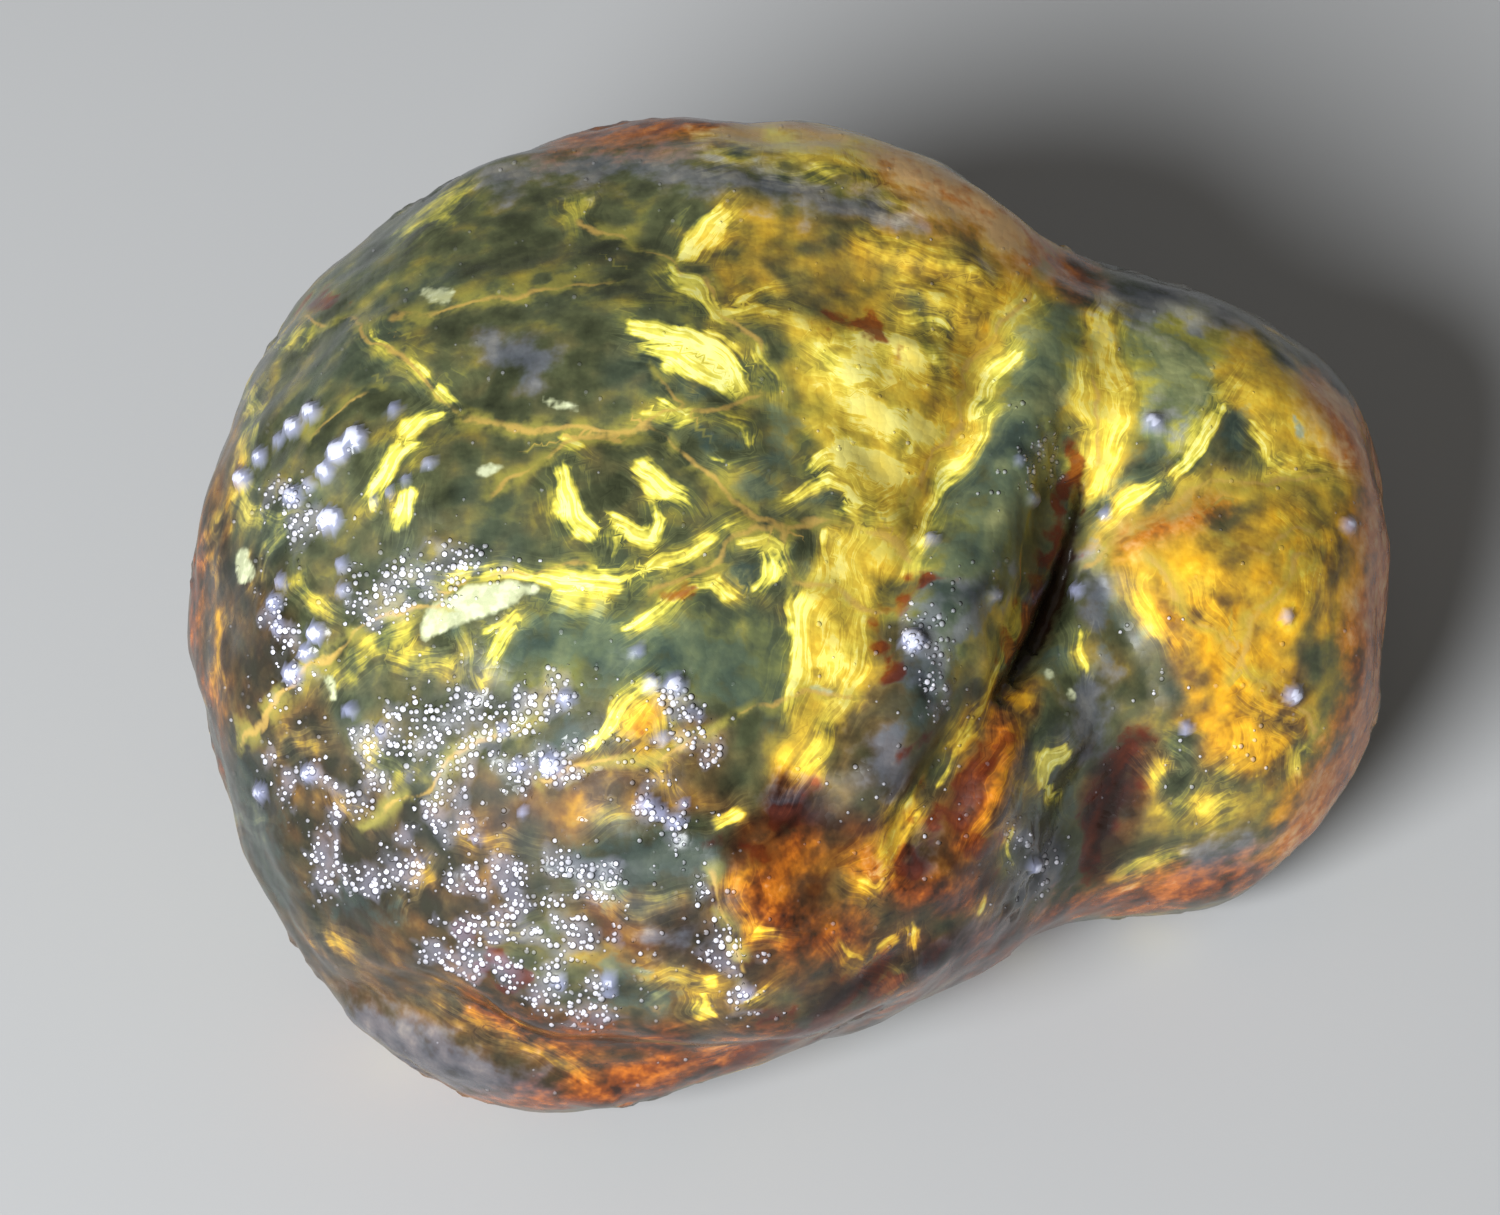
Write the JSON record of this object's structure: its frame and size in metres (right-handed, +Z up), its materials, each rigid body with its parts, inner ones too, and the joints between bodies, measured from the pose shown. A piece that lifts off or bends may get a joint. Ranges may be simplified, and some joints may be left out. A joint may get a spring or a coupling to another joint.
{
  "type": "rough amber",
  "caption": "Rough lump of blue-green and yellow veined amber with a rounded dome, a side lobe, a folded seam between them and a worn flat to rest on.",
  "frame": {"origin": "centre of the lump's outline seen from above, on the surface it rests on", "axes": "+Z up, +X along the lump's length towards the side lobe, -Y towards the front with the lip"},
  "size_m": [0.06, 0.0524, 0.0345],
  "materials": {
    "amber": "glossy natural skin with a fine pebbly crust, dark olive resin with yellow and rust veins, see-through orange where thin"
  },
  "bodies": {
    "root": {"amber": "amber"}
  },
  "joints": []
}
